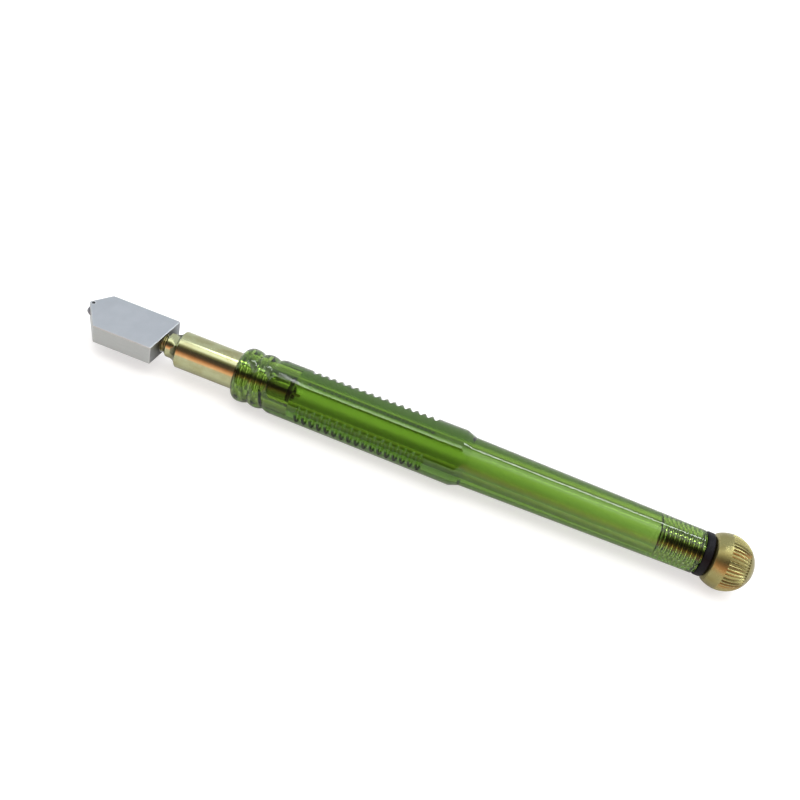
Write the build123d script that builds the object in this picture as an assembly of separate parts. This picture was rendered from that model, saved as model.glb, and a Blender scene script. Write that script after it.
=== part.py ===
from build123d import *
import math
import os

# Oil-fed pencil-grip glass cutter, modelled piece by piece.
#
# Everything is drawn about the pen axis, which is the X axis, with +X towards the ball cap and
# x = 0 just ahead of the handle. Z is square to the broad faces of the cutter head. When a piece is
# written out, it is shifted so that the origin is the point of the cutting wheel that touches the
# glass. All lengths are millimetres.

# Handle: one clear plastic moulding
HANDLE_FRONT = 0.65
HANDLE_REAR = 102.0
RING_RADIUS = 5.82
RING_PEAKS = (2.95, 6.35)
RING_VALLEY = (4.65, 5.32)
GRIP_VALLEY = (8.1, 5.32)
MOUTH_RADIUS = 4.5
GRIP_START = 10.1
GRIP_START_RADIUS = 5.85
GRIP_END = 49.8
GRIP_END_RADIUS = 6.05
BARREL_START = 51.9
BARREL_START_RADIUS = 5.29
BARREL_END_RADIUS = 4.62
BARREL_END_ROUND = 0.35
RESERVOIR_RADIUS = 2.6

# Grip: three flats, and two rows of V-shaped finger grooves on the round sides beside them
FLAT_ANGLES = (41.0, 161.0, 281.0)
FLAT_DEPTH = 0.45
ROW_ANGLES = (3.0, 133.5)
GROOVES_PER_ROW = 17
GROOVE_FIRST = 16.07
GROOVE_PITCH = 1.669
GROOVE_DEPTH = 0.58
GROOVE_WIDTH = 1.5
GROOVE_FLOOR_WIDTH = 0.3

# Screw threads: the front one holds the sleeve, the rear one the filler cap
FRONT_PITCH = 1.25
FRONT_CREST_RADIUS = 4.0
FRONT_CORE_RADIUS = 3.4
FRONT_THREAD_END = 7.4
REAR_PITCH = 1.0
REAR_CREST_RADIUS = 3.0
REAR_CORE_RADIUS = 2.45
REAR_THREAD_START = 93.6
THREAD_CLEARANCE = 0.09
STEM_PITCH = 0.6
STEM_CREST_RADIUS = 1.9
STEM_CORE_RADIUS = 1.62

# Front sleeve: turned brass
COLLAR_FRONT = -15.56
COLLAR_CHAMFER = 0.4
COLLAR_END = -14.1
COLLAR_RADIUS = 2.65
CONE_END = -12.4
SLEEVE_RADIUS = 4.0
SPIGOT_RADIUS = 3.3
SPIGOT_END = 12.4
SLEEVE_BORE_RADIUS = 2.6
SLEEVE_SHOULDER = -11.4
NOSE_BORE_RADIUS = 1.95
COUNTERBORE_RADIUS = 3.4
COUNTERBORE_END = 13.3

# Cutter head: flat block with a pointed nose
HEAD_REAR = -16.33
HEAD_REAR_SLANT = 0.77
HEAD_WIDTH = 10.7
HEAD_THICKNESS = 4.6
FAR_SHOULDER = 14.82
NEAR_SHOULDER = 13.77
NOSE_LENGTH = 18.12
NOSE_OFFSET = 1.1
EDGE_ROUND = 0.2
STEM_HOLE_DEPTH = 5.6

# Cutting wheel and axle
WHEEL_RADIUS = 1.3
WHEEL_PROTRUSION = 0.4
WHEEL_THICKNESS = 1.1
WHEEL_RIM_ANGLE = 140.0
AXLE_RADIUS = 0.4
AXLE_CLEARANCE = 0.04
SLOT_THICKNESS = 1.25
SLOT_RADIUS = 1.95

# Plunger: the stem that carries the head, with its seal, spring and stop
STEM_RADIUS = 1.9
STEM_THREAD_START = -21.3
STEM_THREAD_END = -15.62
FLANGE_RADIUS = 2.52
FLANGE_FRONT = -10.56
FLANGE_LENGTH = 1.5
TAIL_RADIUS = 1.5
TAIL_FLAT_START = 4.0
TAIL_END = 12.0
TAIL_FLAT_HALF = 1.0
SWIVEL_LIMIT = 10.0
OIL_BORE_RADIUS = 0.7
CROSS_HOLE_RADIUS = 0.5
CROSS_HOLE_X = -6.0
WICK_RADIUS = 0.6
WICK_FRONT = -32.1
WICK_REAR = 14.8
WASHER_THICKNESS = 0.5
WASHER_BORE_RADIUS = 1.58
RETAINER_FRONT = 8.6
RETAINER_LENGTH = 3.0
RETAINER_SLACK = 0.04
SPRING_WIRE_RADIUS = 0.24
SPRING_MEAN_RADIUS = 2.1
SPRING_TURNS = 11
GAP = 0.02

# Seals
STEM_SEAL_SECTION = 0.31
SLEEVE_GASKET_BORE = 1.9
CAP_SEAL_THICKNESS = 1.8
CAP_SEAL_INNER = 3.2
CAP_SEAL_OUTER = 4.65
CAP_SEAL_ROUND = 0.5

# Filler cap: turned brass ball with a screwed stud
BALL_RADIUS = 5.9
BALL_CENTRE = 107.4
BALL_FACE_RADIUS = 4.2
BALL_FACE_CHAMFER = 0.5
STUD_CHAMFER = 0.5
STUD_THREAD_END = 101.2
KNURL_COUNT = 48
KNURL_FRONT_ANGLE = -5.0
KNURL_REAR_ANGLE = 42.0
KNURL_DEPTH = 0.2
KNURL_HALF_WIDTH = 0.26

# Places worked out from the sizes above
NOSE_X = HEAD_REAR - NOSE_LENGTH
AXLE_X = NOSE_X - WHEEL_PROTRUSION + WHEEL_RADIUS
TOOL_POINT = (AXLE_X - WHEEL_RADIUS, NOSE_OFFSET, 0.0)
CAP_FACE = HANDLE_REAR + GAP + CAP_SEAL_THICKNESS + GAP
FLANGE_REAR = FLANGE_FRONT + FLANGE_LENGTH
WASHER_REAR = FLANGE_REAR + GAP + WASHER_THICKNESS


def turned(outline):
    """A solid of revolution about the pen axis, from its (x, radius) corner points."""
    return revolve(make_face(Polyline(*outline, close=True)), axis=Axis.X)


def tube(x_start, x_end, inner_radius, outer_radius):
    """A plain ring or tube along the pen axis."""
    return turned([(x_start, inner_radius), (x_end, inner_radius),
                   (x_end, outer_radius), (x_start, outer_radius)])


def rod(x_start, x_end, radius):
    """A plain round bar along the pen axis."""
    return turned([(x_start, 0), (x_end, 0), (x_end, radius), (x_start, radius)])


def thread_ridge(x_start, x_end, core_radius, crest_radius, pitch, clearance=0.0):
    """The helical ridge of a right-hand thread. A clearance makes it the tool for the nut side."""
    half_root = 0.36 * pitch + clearance
    half_crest = 0.10 * pitch + clearance
    sink = 0.06
    height = crest_radius - core_radius + clearance
    helix = Helix(pitch, x_end - x_start, core_radius)
    section_plane = Plane(origin=(core_radius, 0, 0), x_dir=(1, 0, 0), z_dir=(0, -1, 0))
    section = section_plane * make_face(Polyline((-sink, -half_root), (height, -half_crest),
                                                 (height, half_crest), (-sink, half_root),
                                                 close=True))
    ridge = sweep(section, path=helix, is_frenet=True)
    return Pos(x_start, 0, 0) * Rot(0, 90, 0) * ridge


def threaded_hole(bore, ridge_span, core_radius, crest_radius, pitch):
    """The tool that cuts a tapped hole: bore is (start, end, radius), ridge_span the thread's ends."""
    ridge = thread_ridge(*ridge_span, core_radius, crest_radius, pitch, THREAD_CLEARANCE)
    return rod(*bore) + ridge


def handle_outline():
    """Half section of the handle's outside: two rounded rings, the grip, a step and the barrel."""
    first, second = RING_PEAKS
    mouth = (HANDLE_FRONT, MOUTH_RADIUS)
    barrel_end = (HANDLE_REAR - BARREL_END_ROUND, BARREL_END_RADIUS)
    barrel_lip = (HANDLE_REAR, BARREL_END_RADIUS - BARREL_END_ROUND)
    edges = [
        ThreePointArc(mouth, (HANDLE_FRONT + 0.75, 5.46), (first, RING_RADIUS)),
        ThreePointArc((first, RING_RADIUS), (4.0, 5.66), RING_VALLEY),
        ThreePointArc(RING_VALLEY, (second, RING_RADIUS), GRIP_VALLEY),
        ThreePointArc(GRIP_VALLEY, (8.85, 5.7), (GRIP_START, GRIP_START_RADIUS)),
        Polyline((GRIP_START, GRIP_START_RADIUS), (GRIP_END, GRIP_END_RADIUS),
                 (BARREL_START, BARREL_START_RADIUS), barrel_end, barrel_lip,
                 (HANDLE_REAR, 0), (HANDLE_FRONT, 0), mouth),
    ]
    return make_face(edges)


def around_grip(angle):
    """Turns a piece drawn at the -Y side of the pen by an angle about the pen axis."""
    return Rot(-angle, 0, 0)


def grip_radius(x):
    """Radius of the grip's round sides, which taper slightly towards the tip."""
    share = (x - GRIP_START) / (GRIP_END - GRIP_START)
    return GRIP_START_RADIUS + share * (GRIP_END_RADIUS - GRIP_START_RADIUS)


def grip_flat(angle):
    """The material outside one of the grip's flats."""
    length = GRIP_END - GRIP_START
    middle = 0.5 * (GRIP_START + GRIP_END)
    slope = math.degrees(math.atan((GRIP_END_RADIUS - GRIP_START_RADIUS) / length))
    block = Box(1.5 * length, 4, 16, align=(Align.CENTER, Align.MAX, Align.CENTER))
    flat = Pos(middle, FLAT_DEPTH - grip_radius(middle), 0) * Rot(0, 0, -slope) * block
    return around_grip(angle) * flat


def finger_groove(x, angle):
    """One V-shaped groove planed straight across a round side of the grip."""
    floor = GROOVE_DEPTH - grip_radius(x)
    half_floor = GROOVE_FLOOR_WIDTH / 2
    half_top = GROOVE_WIDTH - half_floor
    section = make_face(Polyline((x - half_floor, floor), (x + half_floor, floor),
                                 (x + half_top, floor - 2 * GROOVE_DEPTH),
                                 (x - half_top, floor - 2 * GROOVE_DEPTH), close=True))
    return around_grip(angle) * extrude(section, 0.6 * GRIP_END_RADIUS, both=True)


def make_handle_barrel():
    """Clear plastic handle: the grip outside, the oil reservoir and both tapped ends inside."""
    body = revolve(handle_outline(), axis=Axis.X)
    for angle in FLAT_ANGLES:
        body -= grip_flat(angle)
    body -= [finger_groove(GROOVE_FIRST + step * GROOVE_PITCH, angle)
             for angle in ROW_ANGLES for step in range(GROOVES_PER_ROW)]
    body -= threaded_hole((-1, FRONT_THREAD_END + 0.6, FRONT_CORE_RADIUS + THREAD_CLEARANCE),
                          (HANDLE_FRONT - 2 * FRONT_PITCH, FRONT_THREAD_END + 0.4),
                          FRONT_CORE_RADIUS, FRONT_CREST_RADIUS, FRONT_PITCH)
    body -= rod(FRONT_THREAD_END, COUNTERBORE_END, COUNTERBORE_RADIUS)
    body -= rod(COUNTERBORE_END - 1, REAR_THREAD_START, RESERVOIR_RADIUS)
    body -= threaded_hole((REAR_THREAD_START - 2, HANDLE_REAR + 1, RESERVOIR_RADIUS),
                          (REAR_THREAD_START - REAR_PITCH, HANDLE_REAR + 2 * REAR_PITCH),
                          REAR_CORE_RADIUS, REAR_CREST_RADIUS, REAR_PITCH)
    return body


def make_front_sleeve():
    """Turned brass sleeve: small collar flaring into the body, external thread and rear spigot."""
    corner = 0.2
    collar_end = (COLLAR_END, COLLAR_RADIUS)
    shoulder = (CONE_END - corner, SLEEVE_RADIUS - corner)
    outline = make_face([
        Polyline((COLLAR_FRONT, NOSE_BORE_RADIUS), (COLLAR_FRONT, COLLAR_RADIUS - COLLAR_CHAMFER),
                 (COLLAR_FRONT + COLLAR_CHAMFER, COLLAR_RADIUS), collar_end),
        ThreePointArc(collar_end, (COLLAR_END + 0.85, COLLAR_RADIUS + 0.4), shoulder),
        Polyline(shoulder, (CONE_END, SLEEVE_RADIUS), (HANDLE_FRONT, SLEEVE_RADIUS),
                 (HANDLE_FRONT, FRONT_CORE_RADIUS), (FRONT_THREAD_END, FRONT_CORE_RADIUS),
                 (FRONT_THREAD_END + 0.1, SPIGOT_RADIUS), (SPIGOT_END - corner, SPIGOT_RADIUS),
                 (SPIGOT_END, SPIGOT_RADIUS - corner), (SPIGOT_END, SLEEVE_BORE_RADIUS),
                 (SLEEVE_SHOULDER, SLEEVE_BORE_RADIUS), (SLEEVE_SHOULDER, NOSE_BORE_RADIUS),
                 (COLLAR_FRONT, NOSE_BORE_RADIUS)),
    ])
    body = revolve(outline, axis=Axis.X)
    return body + thread_ridge(HANDLE_FRONT, FRONT_THREAD_END - 0.6, FRONT_CORE_RADIUS,
                               FRONT_CREST_RADIUS, FRONT_PITCH)


def make_sleeve_gasket():
    """Sealing ring between the sleeve's end and the step in the handle's bore."""
    return tube(SPIGOT_END + GAP, COUNTERBORE_END - GAP, SLEEVE_GASKET_BORE, SPIGOT_RADIUS)


def make_cutter_head():
    """Flat metal block with a pointed nose and a slanted rear, slotted for the wheel and tapped."""
    half = HEAD_WIDTH / 2
    outline = make_face(Polyline((HEAD_REAR - HEAD_REAR_SLANT, -half),
                                 (HEAD_REAR + HEAD_REAR_SLANT, half),
                                 (HEAD_REAR - FAR_SHOULDER, half), (NOSE_X, NOSE_OFFSET),
                                 (HEAD_REAR - NEAR_SHOULDER, -half), close=True))
    body = extrude(outline, HEAD_THICKNESS / 2, both=True)
    body = fillet(body.edges(), EDGE_ROUND)
    at_axle = Pos(AXLE_X, NOSE_OFFSET, 0)
    body -= at_axle * Cylinder(SLOT_RADIUS, SLOT_THICKNESS)
    body -= at_axle * Cylinder(AXLE_RADIUS, 2 * HEAD_THICKNESS)
    hole_end = HEAD_REAR - STEM_HOLE_DEPTH
    body -= rod(AXLE_X, hole_end + 1, OIL_BORE_RADIUS)
    body -= threaded_hole((hole_end, HEAD_REAR + 3, STEM_CORE_RADIUS + THREAD_CLEARANCE),
                          (STEM_THREAD_START - STEM_PITCH, HEAD_REAR + 2.5),
                          STEM_CORE_RADIUS, STEM_CREST_RADIUS, STEM_PITCH)
    return body


def make_cutting_wheel():
    """Hard carbide wheel, ground to a wide V at its rim."""
    half = WHEEL_THICKNESS / 2
    side_radius = WHEEL_RADIUS - half / math.tan(math.radians(WHEEL_RIM_ANGLE / 2))
    bore = AXLE_RADIUS + AXLE_CLEARANCE
    section = Plane.XZ * make_face(Polyline((bore, -half), (side_radius, -half), (WHEEL_RADIUS, 0),
                                            (side_radius, half), (bore, half), close=True))
    return Pos(AXLE_X, NOSE_OFFSET, 0) * revolve(section, axis=Axis.Z)


def make_wheel_axle():
    """Steel pin pressed through the head, just below flush at both ends."""
    return Pos(AXLE_X, NOSE_OFFSET, 0) * Cylinder(AXLE_RADIUS, HEAD_THICKNESS - 0.1)


def make_plunger():
    """Brass stem that carries the head: thread, guide, flange, and a tail with two flats."""
    start = STEM_THREAD_START
    tip = start - 0.3
    body = turned([
        (tip, 0), (tip, STEM_CORE_RADIUS - 0.2), (start, STEM_CORE_RADIUS),
        (STEM_THREAD_END, STEM_CORE_RADIUS), (STEM_THREAD_END, STEM_RADIUS),
        (FLANGE_FRONT, STEM_RADIUS),
        (FLANGE_FRONT, FLANGE_RADIUS), (FLANGE_REAR, FLANGE_RADIUS), (FLANGE_REAR, TAIL_RADIUS),
        (TAIL_END, TAIL_RADIUS), (TAIL_END, 0)])
    body += thread_ridge(start + STEM_PITCH, STEM_THREAD_END - 0.3, STEM_CORE_RADIUS,
                         STEM_CREST_RADIUS, STEM_PITCH)
    flat_length = TAIL_END - TAIL_FLAT_START
    for side in (-1, 1):
        cut = Box(flat_length, TAIL_RADIUS, 4 * TAIL_RADIUS,
                  align=(Align.MIN, Align.CENTER, Align.CENTER))
        body -= Pos(TAIL_FLAT_START, side * (TAIL_FLAT_HALF + TAIL_RADIUS / 2), 0) * cut
    body -= rod(tip - 1, TAIL_END + 1, OIL_BORE_RADIUS)
    body -= Pos(CROSS_HOLE_X, 0, 0) * Cylinder(CROSS_HOLE_RADIUS, 3 * TAIL_RADIUS)
    return body


def make_stem_seal():
    """Rubber ring on the stem, held against the sleeve's inner shoulder by the flange."""
    middle = 0.5 * (SLEEVE_SHOULDER + FLANGE_FRONT)
    ring_radius = STEM_RADIUS + GAP + STEM_SEAL_SECTION
    section = Pos(middle, ring_radius) * Circle(STEM_SEAL_SECTION)
    return revolve(section, axis=Axis.X)


def make_thrust_washer():
    """Steel washer that lets the stem turn without winding the spring."""
    return tube(FLANGE_REAR + GAP, WASHER_REAR, WASHER_BORE_RADIUS, FLANGE_RADIUS)


def make_return_spring():
    """Steel compression spring with its ends ground flat."""
    front = WASHER_REAR + GAP
    rear = RETAINER_FRONT - GAP
    pitch = (rear - front) / SPRING_TURNS
    helix = Helix(pitch, rear - front, SPRING_MEAN_RADIUS)
    coil = sweep(Plane(origin=helix @ 0, z_dir=helix % 0) * Circle(SPRING_WIRE_RADIUS),
                 path=helix, is_frenet=True)
    coil = Pos(front, 0, 0) * Rot(0, 90, 0) * coil
    return coil & tube(front, rear, 1, 3)


def make_spring_retainer():
    """Brass plug staked in the sleeve. Its oblong hole lets the stem's flats swing a little."""
    corner_angle = math.acos(TAIL_FLAT_HALF / TAIL_RADIUS)
    swing = math.radians(SWIVEL_LIMIT)
    half_gap = TAIL_RADIUS * math.cos(corner_angle - swing) + RETAINER_SLACK
    hole = rod(RETAINER_FRONT - 1, RETAINER_FRONT + RETAINER_LENGTH + 1, TAIL_RADIUS + 0.08)
    hole &= Pos(RETAINER_FRONT, 0, 0) * Box(4 * RETAINER_LENGTH, 2 * half_gap, 4 * TAIL_RADIUS)
    return rod(RETAINER_FRONT, RETAINER_FRONT + RETAINER_LENGTH, SLEEVE_BORE_RADIUS) - hole


def make_oil_wick():
    """Felt cord that draws oil from the reservoir through the stem to the wheel."""
    return rod(WICK_FRONT, WICK_REAR, WICK_RADIUS)


def make_cap_seal():
    """Black rubber ring squeezed between the barrel's end and the ball."""
    depth = CAP_SEAL_OUTER - CAP_SEAL_INNER
    section = RectangleRounded(CAP_SEAL_THICKNESS, depth, CAP_SEAL_ROUND)
    middle_x = 0.5 * (HANDLE_REAR + CAP_FACE)
    return revolve(Pos(middle_x, CAP_SEAL_INNER + depth / 2) * section, axis=Axis.X)


def ball_groove():
    """One V-shaped knurl groove along a meridian of the ball."""
    outer = BALL_RADIUS + 0.2
    floor = BALL_RADIUS - KNURL_DEPTH
    half = KNURL_HALF_WIDTH * (outer - floor) / KNURL_DEPTH
    section = make_face(Polyline((0, floor), (half, outer), (-half, outer), close=True))
    section = Plane.YZ * section
    groove = revolve(section, axis=Axis.Y, revolution_arc=KNURL_REAR_ANGLE - KNURL_FRONT_ANGLE)
    return Pos(BALL_CENTRE, 0, 0) * Rot(0, KNURL_FRONT_ANGLE, 0) * groove


def make_filler_cap():
    """Brass ball with a knurled belt, and a screwed stud that closes the reservoir."""
    ball_start = CAP_FACE + BALL_FACE_CHAMFER
    start_radius = math.sqrt(BALL_RADIUS ** 2 - (BALL_CENTRE - ball_start) ** 2)
    outline = make_face([
        Polyline((CAP_FACE, 0), (CAP_FACE, BALL_FACE_RADIUS), (ball_start, start_radius)),
        ThreePointArc((ball_start, start_radius), (BALL_CENTRE, BALL_RADIUS),
                      (BALL_CENTRE + BALL_RADIUS, 0)),
        Line((BALL_CENTRE + BALL_RADIUS, 0), (CAP_FACE, 0)),
    ])
    body = revolve(outline, axis=Axis.X)
    groove = ball_groove()
    body -= [Rot(index * 360 / KNURL_COUNT, 0, 0) * groove for index in range(KNURL_COUNT)]
    stud = turned([
        (REAR_THREAD_START, 0), (REAR_THREAD_START, REAR_CORE_RADIUS - STUD_CHAMFER),
        (REAR_THREAD_START + STUD_CHAMFER, REAR_CORE_RADIUS), (CAP_FACE + 1, REAR_CORE_RADIUS),
        (CAP_FACE + 1, 0)])
    stud += thread_ridge(REAR_THREAD_START + REAR_PITCH, STUD_THREAD_END, REAR_CORE_RADIUS,
                         REAR_CREST_RADIUS, REAR_PITCH)
    return body + stud


PIECES = {
    "cutter_head": make_cutter_head,
    "cutting_wheel": make_cutting_wheel,
    "wheel_axle": make_wheel_axle,
    "plunger": make_plunger,
    "stem_seal": make_stem_seal,
    "thrust_washer": make_thrust_washer,
    "return_spring": make_return_spring,
    "spring_retainer": make_spring_retainer,
    "oil_wick": make_oil_wick,
    "front_sleeve": make_front_sleeve,
    "sleeve_gasket": make_sleeve_gasket,
    "handle_barrel": make_handle_barrel,
    "cap_seal": make_cap_seal,
    "filler_cap": make_filler_cap,
}

os.makedirs("parts", exist_ok=True)
to_tool_point = Pos(*(-value for value in TOOL_POINT))
for name, make_piece in PIECES.items():
    export_step(to_tool_point * make_piece(), f"parts/{name}.step")
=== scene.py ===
import math

import bmesh
import bpy
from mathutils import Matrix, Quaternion, Vector


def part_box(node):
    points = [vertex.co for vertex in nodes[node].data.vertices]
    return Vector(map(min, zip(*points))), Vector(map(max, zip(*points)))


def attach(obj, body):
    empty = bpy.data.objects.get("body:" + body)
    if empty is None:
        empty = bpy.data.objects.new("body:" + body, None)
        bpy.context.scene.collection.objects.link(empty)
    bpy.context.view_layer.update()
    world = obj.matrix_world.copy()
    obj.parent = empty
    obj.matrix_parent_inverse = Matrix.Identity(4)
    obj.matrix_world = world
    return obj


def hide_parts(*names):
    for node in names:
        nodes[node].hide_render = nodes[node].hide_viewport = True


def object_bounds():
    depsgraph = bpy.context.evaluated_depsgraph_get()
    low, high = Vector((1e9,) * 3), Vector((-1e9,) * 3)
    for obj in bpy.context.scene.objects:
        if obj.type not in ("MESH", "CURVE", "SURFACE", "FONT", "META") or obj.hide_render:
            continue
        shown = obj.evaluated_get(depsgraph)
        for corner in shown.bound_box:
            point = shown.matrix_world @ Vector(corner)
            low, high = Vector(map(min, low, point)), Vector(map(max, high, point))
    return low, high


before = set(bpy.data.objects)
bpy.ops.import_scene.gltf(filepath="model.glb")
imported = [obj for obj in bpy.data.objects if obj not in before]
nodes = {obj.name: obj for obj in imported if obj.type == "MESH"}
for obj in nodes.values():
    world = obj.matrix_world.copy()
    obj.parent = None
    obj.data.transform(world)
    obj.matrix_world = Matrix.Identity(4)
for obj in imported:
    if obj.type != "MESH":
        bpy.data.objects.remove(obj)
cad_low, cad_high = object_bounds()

MM = 0.001

# ---------------------------------------------------------------- places read from the frame
barrel_low, barrel_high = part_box("handle_barrel")
AXIS_Y = (barrel_low.y + barrel_high.y) / 2   # the pen's own centre line runs along X through (AXIS_Y, 0)
HANDLE_FRONT = barrel_low.x / MM   # in millimetres, like the textures' own places
HANDLE_REAR = barrel_high.x / MM
FLOOR_Z = cad_low.z
STAGE_X = 0.07   # the floor and the overhead light are centred about half way along the pen

# ---------------------------------------------------------------- camera, as the tool lies in the picture
CAMERA_AIM = Vector((69.5 * MM, 0.0, 8.2 * MM))
CAMERA_DISTANCE = 202.4 * MM
CAMERA_AZIMUTH = math.radians(5.51)
CAMERA_ELEVATION = math.radians(43.37)
CAMERA_ROLL = math.radians(17.48)
CAMERA_LENS = 45.0

# ---------------------------------------------------------------- light
BRIGHTEST = 2.0         # strength of the surround, whose colours are kept at or below 1
THROUGH_CLEAR = 0.55    # share of the surround's light that is seen through clear plastic
TUBE_GAIN = 26.0        # extra strength along the thin bright tube
TUBE_FAINT = 0.12       # share of that extra strength over the grip
FLOOR_GLOW = 0.62       # the light table's own light
FLOOR_GLOW_IN_METAL = 0.25
OVERHEAD_RADIANCE = 0.9
PLAIN_WALL = (0.48, 0.48, 0.48)

# Colour of the surround by the height of the look round the X axis, in degrees from the camera's side:
# white table, warm low wall, dim room, soft ceiling panel from 78 to 91, pale wall behind.
SURROUND = [
    (-180, (1.00, 1.00, 1.00)),
    (-14, (1.00, 1.00, 1.00)),
    (-6, (1.35, 0.72, 0.45)),
    (5, (1.95, 1.15, 0.90)),
    (13, (1.35, 0.62, 0.40)),
    (23, (0.80, 0.33, 0.20)),
    (31, (0.16, 0.10, 0.08)),
    (54, (0.07, 0.06, 0.05)),
    (68, (0.42, 0.40, 0.26)),
    (78, (2.00, 2.00, 1.95)),
    (91, (2.00, 2.00, 1.95)),
    (98, (0.85, 0.88, 0.92)),
    (180, (0.85, 0.88, 0.92)),
]


def colour(rgb):
    return (*rgb, 1.0)


def scaled(rgb, share):
    """A colour made lighter or darker, held at or below 1."""
    return tuple(min(1.0, share * part) for part in rgb)


# ================================================================ node trees, one named step at a time
class Nodes:
    """A node tree, and short ways to add nodes to it."""

    def __init__(self, tree):
        self.tree = tree

    def node(self, kind, settings=None, inputs=None):
        made = self.tree.nodes.new(kind)
        for key, value in (settings or {}).items():
            setattr(made, key, value)
        for key, value in (inputs or {}).items():
            self.feed(made.inputs[key], value)
        return made

    def feed(self, socket, value):
        if isinstance(value, bpy.types.NodeSocket):
            self.tree.links.new(value, socket)
        else:
            socket.default_value = value

    def spread(self, value, low, high, to_low=0.0, to_high=1.0):
        """Maps low..high of a value to to_low..to_high, held at the ends."""
        made = self.node("ShaderNodeMapRange", {"clamp": True}, {
            "Value": value, "From Min": low, "From Max": high, "To Min": to_low, "To Max": to_high})
        return made.outputs["Result"]

    def maths(self, operation, a, b=0.0):
        return self.node("ShaderNodeMath", {"operation": operation}, {0: a, 1: b}).outputs["Value"]

    def mix(self, share, a, b):
        """Colour a where share is 0 and b where it is 1."""
        made = self.node("ShaderNodeMix", {"data_type": "RGBA"}, {"Factor": share})
        self.feed(made.inputs[6], colour(a) if isinstance(a, tuple) else a)
        self.feed(made.inputs[7], colour(b) if isinstance(b, tuple) else b)
        return made.outputs[2]


class Shader(Nodes):
    """A material with a Principled surface, whose textures are measured in the object's own millimetres."""

    def __init__(self, name, **surface):
        self.material = bpy.data.materials.new(name)
        self.material.use_nodes = True
        super().__init__(self.material.node_tree)
        self.surface = self.tree.nodes["Principled BSDF"].inputs
        self.output = self.tree.nodes["Material Output"]
        self.object_place = self.node("ShaderNodeTexCoord").outputs["Object"]
        self.facing = self.node("ShaderNodeNewGeometry").outputs["Normal"]
        self.set(**surface)

    def set(self, **surface):
        """Surface inputs by name, such as base_color or specular_ior_level."""
        for key, value in surface.items():
            self.feed(self.surface[key.replace("_", " ").title().replace("Ior", "IOR")], value)

    def place(self, stretch=(1, 1, 1)):
        """Object coordinates in millimetres, multiplied by stretch along each axis."""
        scale = tuple(part / MM for part in stretch)
        made = self.node("ShaderNodeMapping", None, {"Vector": self.object_place, "Scale": scale})
        return made.outputs["Vector"]

    def along_pen(self):
        """The X coordinate in millimetres."""
        return self.node("ShaderNodeSeparateXYZ", None, {"Vector": self.place()}).outputs["X"]

    def noise(self, stretch, detail=3.0, roughness=0.55):
        """Noise whose features are about 1/stretch millimetres across."""
        made = self.node("ShaderNodeTexNoise", None, {
            "Vector": self.place(stretch), "Scale": 1.0, "Detail": detail, "Roughness": roughness})
        return made.outputs["Fac"]

    def bump(self, height, depth_mm, under=None):
        """A surface whose height texture is depth_mm deep, on top of the surface under it."""
        made = self.node("ShaderNodeBump", None, {
            "Height": height, "Distance": depth_mm * MM, "Strength": 1.0})
        if under is not None:
            self.feed(made.inputs["Normal"], under)
        return made.outputs["Normal"]

    def edge_wear_and_highlight(self, reach_mm=0.25):
        """1 where the surface turns sharply within reach_mm, 0 on flat and gently curved surfaces."""
        rounded = self.node("ShaderNodeBevel", {"samples": 6}, {"Radius": reach_mm * MM}).outputs["Normal"]
        likeness = self.node("ShaderNodeVectorMath", {"operation": "DOT_PRODUCT"}, {
            0: rounded, 1: self.facing})
        return self.spread(likeness.outputs["Value"], 0.995, 0.95)

    def openness(self, reach_mm):
        """1 on open surfaces, less where neighbouring surfaces close in within reach_mm."""
        made = self.node("ShaderNodeAmbientOcclusion", {"samples": 8}, {"Distance": reach_mm * MM})
        return made.outputs["AO"]


def paint(material, *names):
    """Gives the material to the CAD nodes of these names."""
    for name in names:
        for slot in nodes[name].material_slots:
            slot.material = material


# ================================================================ materials
def green_plastic():
    """Clear moulded plastic, tinted in its depth, with flow lines and scratches, duller at its front."""
    s = Shader("clear_green_plastic", base_color=colour((0.77, 0.90, 0.72)), ior=1.49)
    s.set(transmission_weight=1.0)
    flow = s.noise((0.03, 0.5, 0.5), detail=2.0)
    scratches = s.noise((0.9, 14.0, 14.0), detail=4.0, roughness=0.7)
    smears = s.noise((0.16, 0.3, 0.3), detail=4.0)
    dulled = s.spread(s.along_pen(), HANDLE_FRONT + 7, HANDLE_FRONT + 15, 0.07, 0.0)
    marks = s.maths("ADD", s.spread(smears, 0.35, 0.75, 0.01, 0.05), s.spread(scratches, 0.66, 0.85, 0, 0.06))
    s.set(roughness=s.maths("ADD", dulled, marks))
    s.set(normal=s.bump(s.spread(scratches, 0.6, 0.85), 0.0015, s.bump(flow, 0.002)))
    depth = s.node("ShaderNodeVolumeAbsorption", None, {"Color": colour((0.55, 0.70, 0.0)), "Density": 490.0})
    s.feed(s.output.inputs["Volume"], depth.outputs["Volume"])
    return s.material


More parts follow.
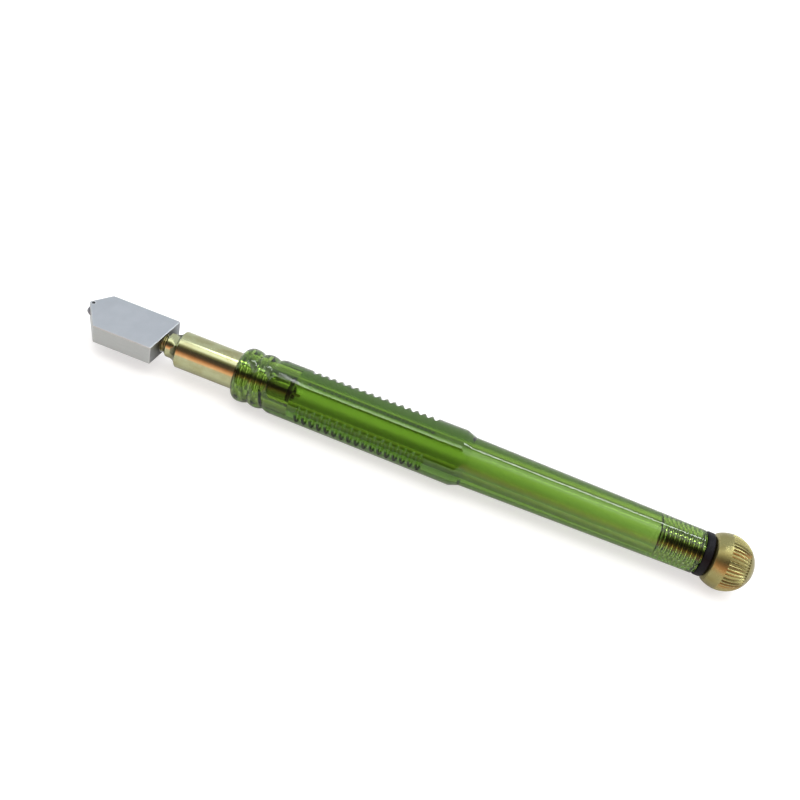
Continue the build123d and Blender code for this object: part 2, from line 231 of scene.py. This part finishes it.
def turned_brass(name, tint, rough):
    """Brass from the lathe: tool rings round the X axis, some tarnish, darker where it lies inside the
    handle, worn edges.
    """
    ring_pitch = 0.11
    s = Shader(name, metallic=1.0, anisotropic=0.6)
    patches = s.noise((0.25, 0.35, 0.35), detail=5.0)
    tool_rings = s.noise((1 / ring_pitch, 0.15, 0.15), roughness=0.6)
    specks = s.noise((6.0, 6.0, 6.0), detail=2.0)
    tarnish = tuple(part * share for part, share in zip(tint, (0.80, 0.72, 0.60)))
    tarnished = s.mix(s.spread(patches, 0.45, 0.75), tint, tarnish)
    x = s.along_pen()
    # the brass is made darker where it lies inside the handle
    behind_front = s.spread(x, HANDLE_FRONT + 0.3, HANDLE_FRONT + 0.8)
    before_rear = s.spread(x, HANDLE_REAR - 0.4, HANDLE_REAR, 1.0, 0.0)
    inside_handle = s.maths("MULTIPLY", behind_front, before_rear)
    darkened_inside_handle = s.mix(inside_handle, tarnished, scaled(tint, 0.45))
    worn = s.mix(s.edge_wear_and_highlight(), darkened_inside_handle, scaled(tint, 1.2))
    s.set(base_color=s.mix(s.spread(specks, 0.68, 0.76, 0, 0.3), worn, (0.22, 0.15, 0.07)))
    dullness = s.maths("ADD", patches, s.maths("MULTIPLY", tool_rings, 0.5))
    s.set(roughness=s.spread(dullness, 0.55, 1.0, *rough))
    s.set(tangent=s.node("ShaderNodeTangent", {"direction_type": "RADIAL", "axis": "X"}).outputs["Tangent"])
    s.set(normal=s.bump(tool_rings, 0.0012))
    return s.material


def plated_head():
    """Nickel-plated casting: fine satin grain on the broad faces, brushed along its length on the sides,
    with a painted highlight on its sharp edges and painted shade near the stem."""
    s = Shader("satin_nickel_plate", metallic=1.0)
    sideways = s.node("ShaderNodeSeparateXYZ", None, {"Vector": s.facing}).outputs["Y"]
    side = s.spread(s.maths("ABSOLUTE", sideways), 0.3, 0.7)
    grain = s.noise((7.0, 7.0, 7.0))
    brushed = s.noise((0.5, 11.0, 11.0), roughness=0.65)
    clouds = s.noise((0.3, 0.3, 0.3), detail=4.0)
    cool = s.mix(s.spread(clouds, 0.3, 0.7), (0.45, 0.475, 0.505), (0.49, 0.515, 0.545))
    warm = s.mix(s.spread(brushed, 0.3, 0.7), (0.42, 0.44, 0.43), (0.50, 0.52, 0.51))
    # painted shade: near black where neighbouring surfaces close in, round the stem
    shaded_near_stem = s.mix(s.spread(s.openness(5), 0.45, 0.9), (0.05, 0.05, 0.045), s.mix(side, cool, warm))
    # painted highlight: the head's sharp edges are given a near-white colour
    s.set(base_color=s.mix(s.edge_wear_and_highlight(), shaded_near_stem, (0.95, 0.96, 0.96)))
    s.set(roughness=s.spread(grain, 0.3, 0.7, 0.36, 0.46))
    on_broad = s.maths("MULTIPLY", grain, s.maths("SUBTRACT", 1.0, side))
    s.set(normal=s.bump(s.maths("ADD", on_broad, s.maths("MULTIPLY", brushed, side)), 0.004))
    return s.material


def ground_carbide():
    """Sintered carbide, ground on its rim: dark grey with fine grinding lines."""
    s = Shader("ground_carbide", metallic=1.0)
    grain = s.noise((20.0, 20.0, 20.0), detail=2.0)
    lines = s.noise((3.0, 3.0, 26.0), detail=2.0)
    s.set(base_color=s.mix(s.spread(grain, 0.3, 0.7), (0.16, 0.16, 0.18), (0.24, 0.24, 0.26)))
    s.set(roughness=s.spread(lines, 0.3, 0.7, 0.22, 0.42))
    s.set(normal=s.bump(lines, 0.002))
    return s.material


def steel(name, light, dark):
    """Drawn steel with streaks along its length."""
    s = Shader(name, metallic=1.0)
    streaks = s.noise((1.2, 9.0, 9.0), detail=4.0, roughness=0.65)
    s.set(base_color=s.mix(s.spread(streaks, 0.35, 0.7), light, dark))
    s.set(roughness=s.spread(streaks, 0.3, 0.7, 0.25, 0.45))
    s.set(normal=s.bump(streaks, 0.002))
    return s.material


def rubber():
    """Moulded black rubber with a dull bloom and a little dust."""
    s = Shader("black_rubber_moulded", specular_ior_level=0.14)
    bloom = s.noise((0.7, 0.7, 0.7), detail=4.0)
    dust = s.noise((9.0, 9.0, 9.0), detail=2.0)
    base = s.mix(s.spread(bloom, 0.35, 0.75), (0.003, 0.003, 0.005), (0.008, 0.008, 0.011))
    s.set(base_color=s.mix(s.spread(dust, 0.70, 0.80, 0, 0.3), base, (0.09, 0.09, 0.09)))
    s.set(roughness=s.spread(bloom, 0.3, 0.7, 0.38, 0.58))
    s.set(normal=s.bump(dust, 0.01))
    return s.material


def felt():
    """Oil-damp cotton felt, yellowed, with a nap of short fibres."""
    s = Shader("cotton_felt", roughness=0.9, sheen_weight=0.5)
    fibres = s.noise((6.0, 16.0, 16.0), detail=4.0, roughness=0.7)
    s.set(base_color=s.mix(s.spread(fibres, 0.3, 0.7), (0.62, 0.55, 0.40), (0.86, 0.81, 0.68)))
    s.set(normal=s.bump(fibres, 0.03))
    return s.material


def studio_card():
    """Matt white card with a faint tooth, lit evenly from below as on a photographer's light table."""
    s = Shader("studio_card", roughness=0.9, specular_ior_level=0.0, emission_color=colour((1.0, 1.0, 1.0)))
    tooth = s.noise((0.6, 0.6, 0.6), detail=5.0)
    s.set(base_color=s.mix(s.spread(tooth, 0.3, 0.7), (0.47, 0.47, 0.47), (0.50, 0.50, 0.50)))
    in_metal = s.node("ShaderNodeLightPath").outputs["Is Glossy Ray"]
    s.set(emission_strength=s.spread(in_metal, 0.0, 1.0, FLOOR_GLOW, FLOOR_GLOW_IN_METAL))
    s.set(normal=s.bump(tooth, 0.01))
    return s.material


# ================================================================ pieces modelled here in place of CAD solids
def box_mm(node):
    """The low and high corner of a CAD node in millimetres."""
    return [tuple(part / MM for part in corner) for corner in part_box(node)]


def add_piece(name, vertices, faces, material, node, body):
    """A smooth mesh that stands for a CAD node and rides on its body."""
    mesh = bpy.data.meshes.new(name)
    mesh.from_pydata([tuple(MM * part for part in point) for point in vertices], [], faces)
    mesh.materials.append(material)
    for polygon in mesh.polygons:
        polygon.use_smooth = True
    shaped = bmesh.new()
    shaped.from_mesh(mesh)
    bmesh.ops.recalc_face_normals(shaped, faces=shaped.faces)
    shaped.to_mesh(mesh)
    shaped.free()
    piece = bpy.data.objects.new(name, mesh)
    bpy.context.scene.collection.objects.link(piece)
    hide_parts(node)
    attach(piece, body)


def around_pen(x, radius, turn):
    """A point in millimetres at a distance from the pen's centre line."""
    return (x, AXIS_Y / MM + radius * math.cos(turn), radius * math.sin(turn))


def grid_faces(rows, columns, closed_rows):
    """Faces between the rows of a mesh, where each row is a closed ring of columns points."""
    last = rows if closed_rows else rows - 1
    return [(row * columns + step, row * columns + (step + 1) % columns,
             (row + 1) % rows * columns + (step + 1) % columns, (row + 1) % rows * columns + step)
            for row in range(last) for step in range(columns)]


def ring_section(half_x, half_r, corner, crown):
    """Outline of a ring: round corners, and a parting line that stands out by crown on the outer side."""
    corner_steps = 8
    outline = []
    for side_x, side_r, start in ((1, 1, 0), (-1, 1, 90), (-1, -1, 180), (1, -1, 270)):
        for step in range(corner_steps + 1):
            turn = math.radians(start + step * 90 / corner_steps)
            outline.append((side_x * (half_x - corner) + corner * math.cos(turn),
                            side_r * (half_r - corner) + corner * math.sin(turn)))
        if (side_x, side_r) == (1, 1):
            outline += [(share * half_x, half_r if share == 0 else half_r - crown)
                        for share in (0.10, 0.05, 0, -0.05, -0.10)]
    return outline


def moulded_ring(node, body, inner, corner, crown, material):
    """A rubber ring round the pen's centre line in the place of a CAD node."""
    low, high = box_mm(node)
    outer = (high[2] - low[2]) / 2
    middle_x = (low[0] + high[0]) / 2
    middle_r = (inner + outer) / 2
    section = ring_section((high[0] - low[0]) / 2, (outer - inner) / 2, corner, crown)
    turns = 160
    vertices = [around_pen(middle_x + x, middle_r + radius, turn * 2 * math.pi / turns)
                for turn in range(turns) for x, radius in section]
    faces = grid_faces(turns, len(section), True)
    add_piece(node + "_moulded", vertices, faces, material, node, body)


def twisted_cord(node, body, material):
    """The wick as a cord of three felted strands laid together, each with the ridges of its own yarns."""
    low, high = box_mm(node)
    strands = 3
    strand_radius = 0.295
    lay_radius = 0.285   # from the cord's middle to each strand's middle
    pitch = 4.6
    around = 20
    rings = 300
    rounded_rings = 3   # at each end, where the strands close in
    vertices = []
    faces = []
    for strand in range(strands):
        base = len(vertices)
        for ring in range(rings):
            share = ring / (rings - 1)
            x = low[0] + share * (high[0] - low[0])
            rounding = min(1.0, math.sqrt(min(share, 1 - share) * rings / rounded_rings) + 0.02)
            lay = 2 * math.pi * (x / pitch + strand / strands)
            centre_y = AXIS_Y / MM + lay_radius * math.cos(lay)
            centre_z = lay_radius * math.sin(lay)
            for step in range(around):
                turn = 2 * math.pi * step / around
                # five yarns twisted one way, and a finer ripple the other way
                yarns = 0.93 + 0.05 * math.cos(5 * turn - 9 * x) + 0.02 * math.sin(3 * turn + 31 * x)
                radius = strand_radius * rounding * yarns
                vertices.append((x, centre_y + radius * math.cos(turn), centre_z + radius * math.sin(turn)))
        faces += [tuple(base + corner for corner in face) for face in grid_faces(rings, around, False)]
        for end in (0, rings - 1):
            faces.append(tuple(base + end * around + step for step in range(around)))
    add_piece(node + "_cord", vertices, faces, material, node, body)


# ================================================================ stage, lights, camera
def make_floor():
    half = 0.9
    mesh = bpy.data.meshes.new("studio_floor")
    corners = [(-half, -half, 0), (half, -half, 0), (half, half, 0), (-half, half, 0)]
    mesh.from_pydata(corners, [], [(0, 1, 2, 3)])
    mesh.materials.append(studio_card())
    floor = bpy.data.objects.new("studio_floor", mesh)
    floor.location = (STAGE_X, 0, FLOOR_Z)
    bpy.context.scene.collection.objects.link(floor)


def surround_colour(s, angle):
    """The surround's colour at a height in degrees, from the table at the top."""
    ramp = s.node("ShaderNodeValToRGB", None, {"Fac": s.spread(angle, -180, 180)})
    elements = ramp.color_ramp.elements
    while len(elements) < len(SURROUND):
        elements.new(0.5)
    for element, (degrees, rgb) in zip(elements, SURROUND):
        element.position = (degrees + 180) / 360
        element.color = colour(scaled(rgb, 1 / BRIGHTEST))
    return ramp.outputs["Color"]


def tube_light(s, angle, sideways):
    """Strength of a thin bright tube along the pen. The barrel (looks with sideways above 0) and the front
    rings (below -0.16) mirror it at full strength. Over the grip between them it is fainter and nearer
    the top, which is 90 degrees."""
    over_barrel = s.spread(sideways, 0.0, 0.02)
    over_rings = s.spread(sideways, -0.20, -0.16, 1.0, 0.0)
    tube_angle = s.maths("ADD", 91.0, s.maths("MULTIPLY", over_rings, 11.0))
    tube_angle = s.maths("ADD", tube_angle, s.maths("MULTIPLY", over_barrel, 16.5))
    tube_angle = s.maths("ADD", tube_angle, s.spread(sideways, 0.02, 0.27, 0.0, 8.0))
    apart = s.maths("ABSOLUTE", s.maths("SUBTRACT", angle, tube_angle))
    full = s.maths("MULTIPLY", 1 - TUBE_FAINT, s.maths("MAXIMUM", over_barrel, over_rings))
    lit = s.maths("MULTIPLY", s.maths("ADD", TUBE_FAINT, full), s.spread(sideways, -0.27, -0.25))
    return s.maths("MULTIPLY", s.spread(apart, 2.0, 3.2, TUBE_GAIN, 0.0), lit)


def make_world():
    """The surround: a plain pale wall to the camera, but coloured bands and a tube to all that it lights."""
    world = bpy.data.worlds.new("studio_surround")
    bpy.context.scene.world = world
    world.use_nodes = True
    s = Nodes(world.node_tree)
    ray = s.node("ShaderNodeLightPath").outputs
    to_camera = ray["Is Camera Ray"]
    look = s.node("ShaderNodeTexCoord").outputs["Generated"]
    split = s.node("ShaderNodeSeparateXYZ", None, {"Vector": look}).outputs
    front = s.maths("MULTIPLY", split["Y"], -1.0)
    angle = s.maths("MULTIPLY", s.maths("ARCTAN2", split["Z"], front), 180 / math.pi)
    bands = s.spread(ray["Is Transmission Ray"], 0.0, 1.0, BRIGHTEST, BRIGHTEST * THROUGH_CLEAR)
    tube = s.maths("MULTIPLY", tube_light(s, angle, split["X"]), s.maths("SUBTRACT", 1.0, to_camera))
    background = s.tree.nodes["Background"].inputs
    s.feed(background["Color"], s.mix(to_camera, surround_colour(s, angle), PLAIN_WALL))
    s.feed(background["Strength"], s.maths("ADD", bands, tube))


def make_overhead():
    """A wide soft light above that brightens only matt surfaces, so that it is not mirrored in metal."""
    side = 1.2
    data = bpy.data.lights.new("overhead", "AREA")
    data.shape = "SQUARE"
    data.size = side
    data.energy = 4 * side * side * OVERHEAD_RADIANCE
    light = bpy.data.objects.new("overhead", data)
    light.location = (STAGE_X, 0, 0.9)
    light.visible_glossy = False
    light.visible_transmission = False
    light.visible_camera = False
    bpy.context.scene.collection.objects.link(light)


def make_camera():
    back = Vector((
        math.sin(CAMERA_AZIMUTH) * math.cos(CAMERA_ELEVATION),
        -math.cos(CAMERA_AZIMUTH) * math.cos(CAMERA_ELEVATION),
        math.sin(CAMERA_ELEVATION),
    ))
    data = bpy.data.cameras.new("camera")
    data.lens = CAMERA_LENS
    data.clip_start = 0.005
    data.clip_end = 10
    camera = bpy.data.objects.new("camera", data)
    camera.location = CAMERA_AIM + back * CAMERA_DISTANCE
    camera.rotation_mode = "QUATERNION"
    upright = (-back).to_track_quat("-Z", "Y")
    camera.rotation_quaternion = upright @ Quaternion((0, 0, 1), CAMERA_ROLL)
    bpy.context.scene.collection.objects.link(camera)
    bpy.context.scene.camera = camera


# ================================================================ put it together
paint(green_plastic(), "handle_barrel")
paint(turned_brass("turned_brass_sleeve", (0.46, 0.475, 0.275), (0.11, 0.21)), "front_sleeve")
paint(turned_brass("turned_brass_cap", (0.33, 0.30, 0.125), (0.24, 0.36)), "filler_cap")
paint(turned_brass("turned_brass_inner", (0.40, 0.37, 0.17), (0.25, 0.4)), "plunger", "spring_retainer")
paint(plated_head(), "cutter_head")
paint(ground_carbide(), "cutting_wheel")
paint(steel("blackened_pin_steel", (0.10, 0.10, 0.11), (0.05, 0.05, 0.05)), "wheel_axle")
paint(steel("spring_steel_wire", (0.55, 0.55, 0.56), (0.34, 0.34, 0.35)), "return_spring", "thrust_washer")
black_rubber = rubber()
moulded_ring("cap_seal", "cap_ring", 3.2, 0.5, 0.03, black_rubber)
moulded_ring("sleeve_gasket", "handle", 1.9, 0.2, 0.01, black_rubber)
moulded_ring("stem_seal", "head", 1.92, 0.305, 0.005, black_rubber)
twisted_cord("oil_wick", "head", felt())

make_floor()
make_world()
make_overhead()
make_camera()
bpy.context.scene.view_settings.view_transform = "Standard"
